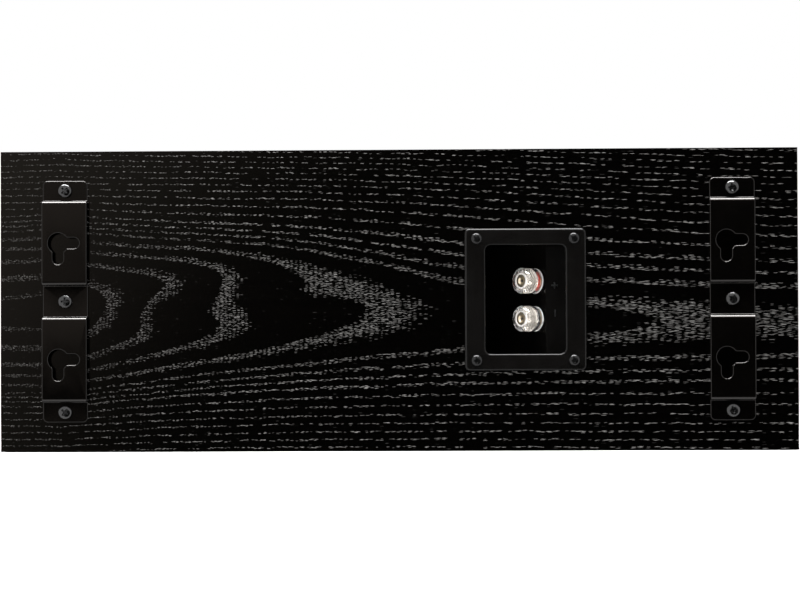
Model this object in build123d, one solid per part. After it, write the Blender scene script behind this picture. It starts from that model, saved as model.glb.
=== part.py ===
from build123d import *
import math
import os

# Centre channel loudspeaker for a shelf or a wall, seen in the reference view from behind.
# Frame: +Z up, the drivers face -Y, the terminals face +Y, origin in the middle of the bottom face.
# Left and right are given as a listener in front of it sees them. All lengths are in millimetres.

# Cabinet
CABINET_WIDTH = 400.0
CABINET_HEIGHT = 151.0
CABINET_DEPTH = 120.0
PANEL_THICKNESS = 15.0
BAFFLE_THICKNESS = 18.0
PAD_THICKNESS = 11.0
PAD_MARGIN = 6.0

# Keyhole hanging brackets
BRACKET_INSET = 32.8
BRACKET_WIDTH = 22.6
SHEET_THICKNESS = 1.5
BRACKET_RISE = 5.0
END_FLANGE_LENGTH = 10.2
BRIDGE_LENGTH = 42.6
MID_FLANGE_LENGTH = 15.8
BEND_INNER_RADIUS = 0.4
BRACKET_CORNER = 2.5
KEYHOLE_DIAMETER = 10.2
KEYHOLE_SLOT_WIDTH = 5.5
KEYHOLE_REACH = 10.7
KEYHOLE_OFFSET = 3.1
CORNER_MATCH = 0.01

# Screws
BRACKET_SCREW_HEAD = 7.1
BRACKET_SCREW_SHANK = 3.5
BRACKET_SCREW_GRIP = 11.0
CUP_SCREW_HEAD = 5.6
CUP_SCREW_SHANK = 2.9
CUP_SCREW_GRIP = 11.0
DRIVER_SCREW_HEAD = 6.6
DRIVER_SCREW_SHANK = 3.5
DRIVER_SCREW_GRIP = 11.0
BOARD_SCREW_HEAD = 5.6
BOARD_SCREW_SHANK = 2.9
BOARD_SCREW_GRIP = 9.0
HEAD_HEIGHT_RATIO = 0.36
HEAD_ROUNDING = 0.7
SCREW_CLEARANCE = 0.15
PILOT_CLEARANCE = 0.05

# Terminal cup
CUP_OFFSET = 63.9
CUP_FLANGE_WIDTH = 60.8
CUP_FLANGE_HEIGHT = 71.2
CUP_FLANGE_THICKNESS = 3.0
CUP_FLANGE_CORNER = 2.6
CUP_FLANGE_EDGE = 1.1
CUP_OPENING_WIDTH = 40.0
CUP_OPENING_HEIGHT = 54.4
CUP_OPENING_CORNER = 2.8
CUP_RIM_RADIUS = 0.8
CUP_WALL = 2.0
CUP_SHELF_WIDTH = 9.8
CUP_SHELF_DEPTH = 10.0
CUP_FLOOR_SLOPE = 46.0
CUP_SCREW_PITCH_X = 48.7
CUP_SCREW_PITCH_Y = 60.9
CUP_FIT = 0.5
GASKET_THICKNESS = 1.0
GASKET_INSET = 1.2

# Binding posts
POST_SPACING = 19.0
CAP_DIAMETER = 12.9
CAP_LENGTH = 10.4
CAP_CHAMFER = 1.1
CAP_LIP = 1.2
CAP_SEAT = 1.0
CAP_EDGE_CLEARANCE = 0.3
RING_LENGTH = 1.7
RING_DIAMETER = 9.3
INSERT_DIAMETER = 9.0
STUD_DIAMETER = 6.0
STUD_COLLAR = 9.4
STUD_TAIL_DIAMETER = 4.0
STUD_TAIL = 12.0
SOCKET_DIAMETER = 4.0
SOCKET_DEPTH = 7.2
WIRE_HOLE_DIAMETER = 2.4
THREAD_CLEARANCE = 0.15
RUNNING_CLEARANCE = 0.12
NUT_ACROSS_FLATS = 7.0
NUT_THICKNESS = 3.2
TAG_THICKNESS = 0.8
TAG_LENGTH = 13.0
TAG_WIDTH = 6.4

# Woofers
WOOFER_FRAME = 104.0
WOOFER_END_MARGIN = 13.0
WOOFER_FLANGE = 4.0
WOOFER_BODY = 88.0
WOOFER_GASKET = 0.8
WOOFER_SCREW_CIRCLE = 96.4
WOOFER_LEDGE = 1.4
BASKET_DEPTH = 33.8
BASKET_SHEET = 1.8
SPIDER_SEAT_DEPTH = 24.0
SPIDER_DIAMETER = 66.0
SPIDER_SHEET = 0.7
SPIDER_ROLLS = 3
SPIDER_ROLL_HEIGHT = 1.4
ROLL_WIDTH = 8.4
RUBBER_SHEET = 0.8
SURROUND_FOOT = 3.0
SURROUND_DROP = 3.8
CONE_SHEET = 0.9
CONE_NECK_DEPTH = 21.0
DUST_CAP_DIAMETER = 34.0
DUST_CAP_HEIGHT = 6.5
COIL_DIAMETER = 25.6
COIL_FORMER = 0.5
COIL_WINDING = 0.5
COIL_WINDING_LENGTH = 8.6
COIL_GAP = 0.4
TOP_PLATE_DIAMETER = 66.0
TOP_PLATE_THICKNESS = 5.0
MAGNET_DIAMETER = 72.0
MAGNET_BORE = 38.0
MAGNET_THICKNESS = 13.0
YOKE_THICKNESS = 4.5
POLE_VENT = 8.0
BASKET_WINDOWS = 6
TAG_STRIP_WIDTH = 14.0
TAG_STRIP_REACH = 42.0
TAG_STRIP_THICKNESS = 1.6

# Tweeter
TWEETER_PLATE = 90.0
TWEETER_PLATE_THICKNESS = 4.0
TWEETER_SCREW_CIRCLE = 79.0
TWEETER_MOUTH = 34.8
TWEETER_FLARE = 60.0
TWEETER_FLARE_DEPTH = 2.2
DOME_DIAMETER = 25.4
DOME_HEIGHT = 5.0
DOME_ROLL_WIDTH = 3.6
DOME_FOOT = 5.0
DOME_SHEET = 0.6
TWEETER_TOP_PLATE = 58.0
TWEETER_TOP_PLATE_THICKNESS = 4.0
TWEETER_MAGNET = 66.0
TWEETER_MAGNET_BORE = 36.0
TWEETER_MAGNET_THICKNESS = 9.0
TWEETER_YOKE_THICKNESS = 4.0
TWEETER_COIL_LENGTH = 5.6
DRIVER_FIT = 0.4
MAGNET_FIT = 1.0

# Crossover
BOARD_OFFSET = 24.0
BOARD_WIDTH = 96.0
BOARD_HEIGHT = 76.0
BOARD_THICKNESS = 1.6
BOARD_SPACER_LENGTH = 6.0
BOARD_SPACER_DIAMETER = 8.0
BOARD_HOLE_INSET = 6.0
WOOFER_CHOKE_DIAMETER = 38.0
WOOFER_CHOKE_HEIGHT = 19.0
TWEETER_CHOKE_DIAMETER = 27.0
TWEETER_CHOKE_HEIGHT = 13.0
CHOKE_BORE_RATIO = 0.5
CAPACITOR_DIAMETER = 16.0
CAPACITOR_LENGTH = 34.0
RESISTOR_LENGTH = 25.0
RESISTOR_WIDTH = 9.0
LEAD_DIAMETER = 3.4
LEAD_STUB = 18.0
LEAD_LAP = 4.5
LEAD_SWING = 44.0
LEAD_TURN = 40.0
LEAD_EDGE_INSET = 3.5
LEAD_BEND_SHARE = 0.45

# Grille
GRILLE_REVEAL = 1.0
GRILLE_THICKNESS = 8.0
GRILLE_CORNER = 3.0
GRILLE_WINDOW_MARGIN = 1.0
CLOTH_THICKNESS = 0.6
CLOTH_RETURN = 9.0
PEG_DIAMETER = 7.0
PEG_LENGTH = 9.0
PEG_ROOT = 4.0
PEG_EDGE_INSET = 8.5
SOCKET_CUP_WALL = 2.0
SOCKET_CUP_FLOOR = 2.0
PEG_CLEARANCE = 0.1

# Frames on the two faces: x to the viewer's right, y up, z out towards the viewer
MIDDLE_HEIGHT = CABINET_HEIGHT / 2
REAR = Plane((0, CABINET_DEPTH / 2, MIDDLE_HEIGHT), x_dir=(-1, 0, 0), z_dir=(0, 1, 0))
FRONT = Plane((0, -CABINET_DEPTH / 2, MIDDLE_HEIGHT), x_dir=(1, 0, 0), z_dir=(0, -1, 0))
INSIDE = Plane((0, CABINET_DEPTH / 2 - PANEL_THICKNESS, MIDDLE_HEIGHT), x_dir=(1, 0, 0), z_dir=(0, -1, 0))

INNER_WIDTH = CABINET_WIDTH - 2 * PANEL_THICKNESS
INNER_HEIGHT = CABINET_HEIGHT - 2 * PANEL_THICKNESS
WOOFER_X = INNER_WIDTH / 2 - WOOFER_END_MARGIN - WOOFER_FRAME / 2
BRACKET_X = CABINET_WIDTH / 2 - BRACKET_INSET

pieces = {}


def outline(*points):
    """Closed flat face through the given corners."""
    return make_face(Polyline(*points, close=True))


def turned(*points):
    """Solid of revolution about z from (radius, z) corners."""
    return revolve(Plane.XZ * outline(*points), Axis.Z)


def tube(outer, inner, low, high):
    """Straight ring about z between two heights, given by diameters."""
    return turned((inner / 2, low), (outer / 2, low), (outer / 2, high), (inner / 2, high))


def rod(diameter, low, high):
    """Round bar along z between two heights."""
    return Pos(0, 0, low) * Cylinder(diameter / 2, high - low, align=(Align.CENTER, Align.CENTER, Align.MIN))


def block(width, height, low, high):
    """Square-cornered slab between two heights."""
    return Pos(0, 0, low) * Box(width, height, high - low, align=(Align.CENTER, Align.CENTER, Align.MIN))


def slab(face, low, high):
    """Flat face given thickness between two heights."""
    return extrude(Pos(0, 0, low) * face, high - low)


def along_y(face, length):
    """Face drawn as (x, z), drawn out evenly to both sides of y = 0."""
    return extrude(Plane.XZ * face, length / 2, both=True)


def along_x(face, length):
    """Face drawn as (y, z), drawn out evenly to both sides of x = 0."""
    return extrude(Plane.YZ * face, length / 2, both=True)


def pan_screw(head, shank, length):
    """Pan-head screw with the underside of its head at z = 0 and its tip below."""
    head_height = head * HEAD_HEIGHT_RATIO
    crown = rod(head, 0, head_height)
    crown = fillet(crown.edges().sort_by(Axis.Z)[-1], head_height * HEAD_ROUNDING)
    return crown + turned((0, -length), (shank / 2, shank - length), (shank / 2, 0), (0, 0))


def drill(places, diameter, low, high):
    """Round cutters at a list of places."""
    return [Pos(x, y, 0) * rod(diameter, low, high) for x, y in places]


def group(solids):
    """Several loose solids of one kind in one node."""
    return Compound(children=list(solids))


def corners(pitch_x, pitch_y):
    """The four corners of a rectangle about the origin."""
    return [(x * pitch_x / 2, y * pitch_y / 2) for x in (-1, 1) for y in (-1, 1)]


def on_circle(diameter, count, start):
    """Even places on a circle, the first at the start angle in degrees."""
    angles = [math.radians(start + step * 360 / count) for step in range(count)]
    return [(diameter / 2 * math.cos(angle), diameter / 2 * math.sin(angle)) for angle in angles]


# Places on the rear face that several pieces share
bracket_length = 2 * END_FLANGE_LENGTH + 2 * BRIDGE_LENGTH + MID_FLANGE_LENGTH
bridge_centre = (MID_FLANGE_LENGTH + BRIDGE_LENGTH) / 2
end_screw_y = (bracket_length - END_FLANGE_LENGTH) / 2
bracket_screw_places = [(0, -end_screw_y), (0, 0), (0, end_screw_y)]
cup_screw_places = corners(CUP_SCREW_PITCH_X, CUP_SCREW_PITCH_Y)
cup_body_width = CUP_OPENING_WIDTH + 2 * CUP_WALL
cup_body_height = CUP_OPENING_HEIGHT + 2 * CUP_WALL
cup_body_corner = CUP_OPENING_CORNER + CUP_WALL
board_places = corners(BOARD_WIDTH - 2 * BOARD_HOLE_INSET, BOARD_HEIGHT - 2 * BOARD_HOLE_INSET)
peg_places = corners(INNER_WIDTH - 2 * PEG_EDGE_INSET, INNER_HEIGHT - 2 * PEG_EDGE_INSET)
socket_cup = PEG_DIAMETER + 2 * (PEG_CLEARANCE + SOCKET_CUP_WALL)
socket_cup_depth = PEG_LENGTH + SOCKET_CUP_FLOOR
woofer_screw_places = on_circle(WOOFER_SCREW_CIRCLE, 4, 45)
tweeter_screw_places = on_circle(TWEETER_SCREW_CIRCLE, 4, 45)
woofer_recess = WOOFER_FLANGE + WOOFER_GASKET


def mitre(length):
    """Cross-section of a panel with both ends cut at 45 degrees, outer face at height 0."""
    half = length / 2
    inner = half - PANEL_THICKNESS
    return outline((-half, 0), (half, 0), (inner, -PANEL_THICKNESS), (-inner, -PANEL_THICKNESS))


def wrap_panel(length):
    """One side of the wrap, outer face up, mitred at both ends and along its rear edge."""
    rear = CABINET_DEPTH / 2
    waste = outline((rear, 0), (rear, -PANEL_THICKNESS), (rear - PANEL_THICKNESS, -PANEL_THICKNESS))
    return along_y(mitre(length), CABINET_DEPTH) - along_x(waste, length)


def rear_panel():
    """Full-size rear panel, mitred all round, with the terminal hole and the screws' pilot holes."""
    panel = along_y(mitre(CABINET_WIDTH), CABINET_HEIGHT) & along_x(mitre(CABINET_HEIGHT), CABINET_WIDTH)
    hole_width = cup_body_width + 2 * CUP_FIT
    hole_height = cup_body_height + 2 * CUP_FIT
    hole = RectangleRounded(hole_width, hole_height, cup_body_corner + CUP_FIT)
    cuts = [Pos(CUP_OFFSET, 0, 0) * slab(hole, -PANEL_THICKNESS, 0)]
    bracket_pilot = BRACKET_SCREW_SHANK + 2 * PILOT_CLEARANCE
    for x in (-BRACKET_X, BRACKET_X):
        places = [(x, y) for _, y in bracket_screw_places]
        cuts += drill(places, bracket_pilot, -BRACKET_SCREW_GRIP, 0)
    cup_pilot = CUP_SCREW_SHANK + 2 * PILOT_CLEARANCE
    places = [(x + CUP_OFFSET, y) for x, y in cup_screw_places]
    cuts += drill(places, cup_pilot, -CUP_SCREW_GRIP, 0)
    board_pilot = BOARD_SCREW_SHANK + 2 * PILOT_CLEARANCE
    places = [(x - BOARD_OFFSET, y) for x, y in board_places]
    cuts += drill(places, board_pilot, -PANEL_THICKNESS, BOARD_SCREW_GRIP - PANEL_THICKNESS)
    return panel - cuts


def driver_seat(plate, plate_depth, body, screw_places):
    """Cutter for a driver set flush in the baffle: rebate, through hole and pilot holes."""
    pilot = DRIVER_SCREW_SHANK + 2 * PILOT_CLEARANCE
    rebate = rod(plate + 2 * DRIVER_FIT, -plate_depth, 0)
    hole = rod(body, -BAFFLE_THICKNESS, 0)
    return [rebate, hole, *drill(screw_places, pilot, -plate_depth - DRIVER_SCREW_GRIP, -plate_depth)]


def front_baffle():
    """Baffle inside the wrap, with flush driver seats and holes for the grille sockets."""
    panel = block(INNER_WIDTH, INNER_HEIGHT, -BAFFLE_THICKNESS, 0)
    woofer_hole = WOOFER_BODY + 2 * DRIVER_FIT
    cuts = drill(peg_places, socket_cup, -socket_cup_depth, 0)
    for x in (-WOOFER_X, WOOFER_X):
        cutters = driver_seat(WOOFER_FRAME, woofer_recess, woofer_hole, woofer_screw_places)
        cuts += [Pos(x, 0, 0) * cutter for cutter in cutters]
    tweeter_hole = TWEETER_MAGNET + 2 * MAGNET_FIT
    cuts += driver_seat(TWEETER_PLATE, TWEETER_PLATE_THICKNESS, tweeter_hole, tweeter_screw_places)
    return panel - cuts


def make_cabinet():
    """Six panels and the absorbent pads inside the ends."""
    pieces["top_panel"] = Pos(0, 0, CABINET_HEIGHT) * wrap_panel(CABINET_WIDTH)
    pieces["bottom_panel"] = Rot(0, 180, 0) * wrap_panel(CABINET_WIDTH)
    end = wrap_panel(CABINET_HEIGHT)
    pieces["right_end_panel"] = Pos(CABINET_WIDTH / 2, 0, MIDDLE_HEIGHT) * Rot(0, 90, 0) * end
    pieces["left_end_panel"] = Pos(-CABINET_WIDTH / 2, 0, MIDDLE_HEIGHT) * Rot(0, -90, 0) * end
    pieces["rear_panel"] = REAR * rear_panel()
    pieces["front_baffle"] = FRONT * front_baffle()
    inner_depth = CABINET_DEPTH - PANEL_THICKNESS - BAFFLE_THICKNESS
    pad = Box(PAD_THICKNESS, inner_depth - 2 * PAD_MARGIN, INNER_HEIGHT - 2 * PAD_MARGIN)
    pad_x = (INNER_WIDTH - PAD_THICKNESS) / 2
    pad_y = (BAFFLE_THICKNESS - PANEL_THICKNESS) / 2
    pieces["absorbent_pads"] = group(Pos(x, pad_y, MIDDLE_HEIGHT) * pad for x in (-pad_x, pad_x))


def folded_strip():
    """Side profile of the bracket as (length, height): flange, bridge, flange, bridge, flange."""
    top = SHEET_THICKNESS + BRACKET_RISE
    mid = MID_FLANGE_LENGTH / 2
    outer = mid + BRIDGE_LENGTH
    end = bracket_length / 2
    upper = [(end, SHEET_THICKNESS), (outer, SHEET_THICKNESS), (outer, top), (mid, top), (mid, SHEET_THICKNESS)]
    lower = [(mid + SHEET_THICKNESS, 0), (mid + SHEET_THICKNESS, BRACKET_RISE)]
    lower += [(outer - SHEET_THICKNESS, BRACKET_RISE), (outer - SHEET_THICKNESS, 0), (end, 0)]
    mirrored_upper = [(-y, z) for y, z in reversed(upper)]
    mirrored_lower = [(-y, z) for y, z in reversed(lower)]
    strip = outline(*upper, *mirrored_upper, *mirrored_lower, *lower)
    bends = [corner for corner in strip.vertices() if abs(corner.X) < end - SHEET_THICKNESS]
    inner_corners = upper[1:2] + upper[4:5] + lower[1:3]
    inner_corners += [(-y, z) for y, z in inner_corners]
    inside = [v for v in bends if any(math.dist((v.X, v.Y), c) < CORNER_MATCH for c in inner_corners)]
    outside = [v for v in bends if v not in inside]
    strip = fillet(inside, BEND_INNER_RADIUS)
    kept = [(v.X, v.Y) for v in outside]
    sharp = [v for v in strip.vertices() if any(math.dist((v.X, v.Y), c) < CORNER_MATCH for c in kept)]
    return fillet(sharp, BEND_INNER_RADIUS + SHEET_THICKNESS)


def keyhole():
    """Head hole with a slot to the side and a slot downwards, for hanging it either way round."""
    slot_centre = KEYHOLE_REACH - KEYHOLE_SLOT_WIDTH / 2
    shape = Circle(KEYHOLE_DIAMETER / 2)
    for direction in (0, -90):
        run = Pos(slot_centre / 2, 0) * Rectangle(slot_centre, KEYHOLE_SLOT_WIDTH)
        shape += Rot(0, 0, direction) * (run + Pos(slot_centre, 0) * Circle(KEYHOLE_SLOT_WIDTH / 2))
    return shape


def bracket():
    """Folded steel strip with two bridges, a keyhole in each bridge and a screw hole in each flange."""
    strip = along_x(folded_strip(), BRACKET_WIDTH)
    plan = RectangleRounded(BRACKET_WIDTH, bracket_length, BRACKET_CORNER)
    strip = strip & slab(plan, 0, SHEET_THICKNESS + BRACKET_RISE)
    top = SHEET_THICKNESS + BRACKET_RISE
    screw_hole = BRACKET_SCREW_SHANK + 2 * SCREW_CLEARANCE
    cuts = drill(bracket_screw_places, screw_hole, 0, SHEET_THICKNESS)
    for y in (-bridge_centre, bridge_centre):
        cuts.append(Pos(-KEYHOLE_OFFSET, y, 0) * slab(keyhole(), BRACKET_RISE / 2, top))
    return strip - cuts


def make_brackets():
    """Two hanging brackets on the rear face, each held by three screws."""
    screw = pan_screw(BRACKET_SCREW_HEAD, BRACKET_SCREW_SHANK, BRACKET_SCREW_GRIP + SHEET_THICKNESS)
    screws = []
    for side, x in (("left", BRACKET_X), ("right", -BRACKET_X)):
        pieces[side + "_bracket"] = REAR * Pos(x, 0, 0) * bracket()
        screws += [REAR * Pos(x, y, SHEET_THICKNESS) * screw for _, y in bracket_screw_places]
    pieces["bracket_screws"] = group(screws)


# The cup's own frame, with its slanted floor and the feet of the two posts
CUP = REAR * Pos(CUP_OFFSET, 0, 0)
cup_face = GASKET_THICKNESS + CUP_FLANGE_THICKNESS
shelf_height = cup_face - CUP_SHELF_DEPTH
shelf_edge = CUP_OPENING_WIDTH / 2 - CUP_SHELF_WIDTH
slope = math.radians(CUP_FLOOR_SLOPE)
post_run = CAP_DIAMETER / 2 + CAP_EDGE_CLEARANCE
foot_x = shelf_edge - post_run * math.cos(slope)
foot_z = shelf_height - post_run * math.sin(slope)


def floor_profile(left, right, top, drop):
    """Space above the shelf and the slanted floor as (x, z), lowered square to the floor by drop."""
    crease = shelf_edge + drop * math.tan(slope / 2)
    shelf = shelf_height - drop
    deep = shelf - (crease - left) * math.tan(slope)
    return outline((left, top), (left, deep), (crease, shelf), (right, shelf), (right, top))


def terminal_cup():
    """Moulded cup: flange with a rounded edge, walls, a shelf and a slanted floor for the posts."""
    half = CUP_OPENING_WIDTH / 2
    well = RectangleRounded(CUP_OPENING_WIDTH, CUP_OPENING_HEIGHT, CUP_OPENING_CORNER)
    deepest = cup_face - CABINET_DEPTH
    flange_face = RectangleRounded(CUP_FLANGE_WIDTH, CUP_FLANGE_HEIGHT, CUP_FLANGE_CORNER) - well
    flange = slab(flange_face, GASKET_THICKNESS, cup_face)
    face = flange.faces().sort_by(Axis.Z)[-1]
    flange = fillet(face.outer_wire().edges(), CUP_FLANGE_EDGE)
    face = flange.faces().sort_by(Axis.Z)[-1]
    flange = fillet(face.inner_wires()[0].edges(), CUP_RIM_RADIUS)
    outside = RectangleRounded(cup_body_width, cup_body_height, cup_body_corner)
    body_profile = floor_profile(-half - CUP_WALL, half + CUP_WALL, GASKET_THICKNESS, CUP_WALL)
    body = slab(outside, deepest, GASKET_THICKNESS) & along_y(body_profile, CUP_FLANGE_HEIGHT)
    well_profile = floor_profile(-half, half, cup_face, 0)
    space = slab(well, deepest, cup_face) & along_y(well_profile, CUP_FLANGE_HEIGHT)
    cup = flange + (body - space)
    screw_hole = CUP_SCREW_SHANK + 2 * SCREW_CLEARANCE
    cuts = drill(cup_screw_places, screw_hole, GASKET_THICKNESS, cup_face)
    tail_hole = STUD_TAIL_DIAMETER + 2 * SCREW_CLEARANCE
    cuts += [foot * rod(tail_hole, -CUP_WALL * 2, CUP_WALL) for foot in post_feet()]
    return cup - cuts


def post_feet():
    """Where the two posts stand on the slanted floor, red above black, each axis along local z."""
    lean = (-math.sin(slope), 0, math.cos(slope))
    places = [(foot_x, y, foot_z) for y in (POST_SPACING / 2, -POST_SPACING / 2)]
    return [Location(Plane(place, x_dir=(0, 1, 0), z_dir=lean)) for place in places]


def make_terminals():
    """Cup, gasket, screws and the two binding posts with their nuts and solder tags."""
    pieces["terminal_cup"] = CUP * terminal_cup()
    gasket_width = CUP_FLANGE_WIDTH - 2 * GASKET_INSET
    gasket_height = CUP_FLANGE_HEIGHT - 2 * GASKET_INSET
    gasket_hole = RectangleRounded(cup_body_width, cup_body_height, cup_body_corner)
    gasket = slab(RectangleRounded(gasket_width, gasket_height, CUP_FLANGE_CORNER) - gasket_hole, 0, GASKET_THICKNESS)
    screw_hole = CUP_SCREW_SHANK + 2 * SCREW_CLEARANCE
    pieces["terminal_gasket"] = CUP * (gasket - drill(cup_screw_places, screw_hole, 0, GASKET_THICKNESS))
    screw = pan_screw(CUP_SCREW_HEAD, CUP_SCREW_SHANK, CUP_SCREW_GRIP + cup_face)
    pieces["terminal_screws"] = group(CUP * Pos(x, y, cup_face) * screw for x, y in cup_screw_places)
    for colour, foot in zip(("red", "black"), post_feet()):
        for name, solid in post_pieces().items():
            pieces[colour + "_post_" + name] = CUP * foot * solid
    for name, solid in tail_pieces().items():
        pieces["post_" + name] = group(CUP * foot * solid for foot in post_feet())


def post_pieces():
    """One binding post along z, its collar standing on the cup floor at z = 0."""
    seat = CAP_SEAT
    front = seat + CAP_LENGTH
    ring_low = seat + CAP_LIP + RUNNING_CLEARANCE
    ring_high = ring_low + RING_LENGTH
    insert_low = ring_high + RUNNING_CLEARANCE
    ring_bore = STUD_DIAMETER + 4 * THREAD_CLEARANCE
    chamber = RING_DIAMETER + 2 * RUNNING_CLEARANCE
    stud_top = front - CAP_CHAMFER / 2
    wire_z = seat + WIRE_HOLE_DIAMETER / 2
    stud = rod(STUD_TAIL_DIAMETER, -STUD_TAIL, 0) + rod(STUD_COLLAR, 0, seat) + rod(STUD_DIAMETER, seat, stud_top)
    stud -= rod(SOCKET_DIAMETER, stud_top - SOCKET_DEPTH, stud_top)
    stud -= Pos(0, 0, wire_z) * Rot(0, 90, 0) * Cylinder(WIRE_HOLE_DIAMETER / 2, CAP_DIAMETER)
    shell = turned(
        (ring_bore / 2, seat),
        (CAP_DIAMETER / 2, seat),
        (CAP_DIAMETER / 2, front - CAP_CHAMFER),
        (CAP_DIAMETER / 2 - CAP_CHAMFER, front),
        (INSERT_DIAMETER / 2, front),
        (INSERT_DIAMETER / 2, insert_low),
        (chamber / 2, insert_low),
        (chamber / 2, seat + CAP_LIP),
        (ring_bore / 2, seat + CAP_LIP),
    )
    return {
        "stud": stud,
        "shell": shell,
        "insert": tube(INSERT_DIAMETER, STUD_DIAMETER + 2 * THREAD_CLEARANCE, insert_low, front - CAP_CHAMFER / 2),
        "ring": tube(RING_DIAMETER, ring_bore, ring_low, ring_high),
    }


def tail_pieces():
    """Nut and solder tag on the tail of a post, behind the cup's floor."""
    back = -CUP_WALL - TAG_THICKNESS
    tail_hole = rod(STUD_TAIL_DIAMETER + 2 * SCREW_CLEARANCE, back - NUT_THICKNESS, 0)
    nut = slab(RegularPolygon(NUT_ACROSS_FLATS / 2, 6, major_radius=False), back - NUT_THICKNESS, back)
    reach = TAG_LENGTH - TAG_WIDTH / 2
    tag_face = Circle(TAG_WIDTH / 2) + Pos(0, reach / 2) * Rectangle(TAG_WIDTH / 2, reach)
    tag = slab(tag_face, back, -CUP_WALL)
    return {"nuts": nut - tail_hole, "solder_tags": tag - tail_hole}


# Depths and radii that the woofer's pieces share, from the baffle's front face inwards
ledge_z = WOOFER_LEDGE - WOOFER_FLANGE
roll_outer = WOOFER_BODY / 2 - SURROUND_FOOT
roll_inner = roll_outer - ROLL_WIDTH
roll_centre = (roll_outer + roll_inner) / 2
cone_rim_z = ledge_z - SURROUND_DROP
cone_neck = COIL_DIAMETER / 2 + COIL_FORMER / 4
plate_bore = COIL_DIAMETER + 2 * (COIL_WINDING + COIL_GAP)
plate_low = -BASKET_DEPTH - TOP_PLATE_THICKNESS
magnet_low = plate_low - MAGNET_THICKNESS
spider_seat = SPIDER_DIAMETER / 2
spider_step = spider_seat - WOOFER_LEDGE * 3
tag_strip_low = (-SPIDER_SEAT_DEPTH - BASKET_DEPTH) / 2 - TAG_STRIP_THICKNESS
pole_diameter = COIL_DIAMETER - 2 * (COIL_FORMER + COIL_GAP)


def basket():
    """Stamped frame: flange, open tapered legs, a seat for the spider and a floor over the magnet."""
    flange = WOOFER_FRAME / 2
    body = WOOFER_BODY / 2
    wall = BASKET_SHEET
    floor_bore = plate_bore / 2 + wall / 2
    frame = turned(
        (flange, 0),
        (flange, -WOOFER_FLANGE),
        (body, -WOOFER_FLANGE),
        (spider_seat + wall, -SPIDER_SEAT_DEPTH - wall),
        (spider_step + wall, -SPIDER_SEAT_DEPTH - wall),
        (spider_step + wall, -BASKET_DEPTH),
        (floor_bore, -BASKET_DEPTH),
        (floor_bore, wall - BASKET_DEPTH),
        (spider_step, wall - BASKET_DEPTH),
        (spider_step, -SPIDER_SEAT_DEPTH),
        (spider_seat + wall / 4, -SPIDER_SEAT_DEPTH),
        (roll_outer - wall / 4, -WOOFER_FLANGE - wall),
        (roll_outer - wall / 4, ledge_z),
        (body + wall / 4, ledge_z),
        (body + wall / 4, 0),
    )
    window_high = -WOOFER_FLANGE - 2 * wall
    window_low = -SPIDER_SEAT_DEPTH + wall
    window_width = math.pi * spider_seat / BASKET_WINDOWS
    window = Pos(body, 0, 0) * block(body, window_width, window_low, window_high)
    cuts = [Rot(0, 0, step * 360 / BASKET_WINDOWS) * window for step in range(BASKET_WINDOWS)]
    frame -= cuts
    strip_reach = TAG_STRIP_REACH - spider_step - wall / 2
    strip_middle = TAG_STRIP_REACH - strip_reach / 2
    strip = block(TAG_STRIP_WIDTH, strip_reach, tag_strip_low, tag_strip_low + TAG_STRIP_THICKNESS)
    frame += Pos(0, strip_middle, 0) * strip
    screw_hole = DRIVER_SCREW_SHANK + 2 * SCREW_CLEARANCE
    return frame - drill(woofer_screw_places, screw_hole, -WOOFER_FLANGE, 0)


def surround():
    """Half-roll rubber edge: outer foot on the frame, roll, skirt and inner foot on the cone."""
    top = ledge_z + RUBBER_SHEET
    radius = ROLL_WIDTH / 2
    hollow = radius - RUBBER_SHEET
    outer_foot = WOOFER_BODY / 2
    inner_foot = roll_inner - SURROUND_FOOT
    skin = Polyline(
        (roll_centre + hollow, top), (roll_centre + hollow, ledge_z), (outer_foot, ledge_z), (outer_foot, top),
        (roll_centre + radius, top),
    )
    crown = ThreePointArc((roll_centre + radius, top), (roll_centre, top + radius), (roll_centre - radius, top))
    skirt = Polyline(
        (roll_centre - radius, top), (roll_centre - radius, cone_rim_z + RUBBER_SHEET),
        (inner_foot, cone_rim_z + RUBBER_SHEET), (inner_foot, cone_rim_z),
        (roll_centre - hollow, cone_rim_z), (roll_centre - hollow, top),
    )
    arch = ThreePointArc((roll_centre - hollow, top), (roll_centre, top + hollow), (roll_centre + hollow, top))
    return revolve(Plane.XZ * make_face([*skin.edges(), crown, *skirt.edges(), arch]), Axis.Z)


def cone_surface(radius):
    """Height of the cone's front surface at a radius."""
    rise = CONE_NECK_DEPTH + cone_rim_z
    run = roll_inner - SURROUND_FOOT - cone_neck
    return (radius - cone_neck) / run * rise - CONE_NECK_DEPTH


def cone():
    """Paper cone with a flat rim under the surround's foot and a short neck round the coil former."""
    rim_outer = roll_inner + RUBBER_SHEET
    rim_inner = roll_inner - SURROUND_FOOT
    thick = CONE_SHEET
    return turned(
        (rim_outer, cone_rim_z),
        (rim_inner, cone_rim_z),
        (cone_neck, -CONE_NECK_DEPTH),
        (cone_neck, -CONE_NECK_DEPTH - 2 * thick),
        (cone_neck + thick, -CONE_NECK_DEPTH - 2 * thick),
        (cone_neck + thick, -CONE_NECK_DEPTH - thick / 2),
        (rim_inner + thick, cone_rim_z - thick),
        (rim_outer, cone_rim_z - thick),
    )


def dome_shell(diameter, height, thick, base):
    """Thin spherical cap standing on a flat rim at the base height."""
    half = diameter / 2
    outer_radius = (half * half + height * height) / (2 * height)
    ball = Pos(0, 0, base + height - outer_radius) * Sphere(outer_radius)
    hollow = Pos(0, 0, base + height - outer_radius) * Sphere(outer_radius - thick)
    return (ball - hollow) & block(2 * diameter, 2 * diameter, base, base + 2 * height)


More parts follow.
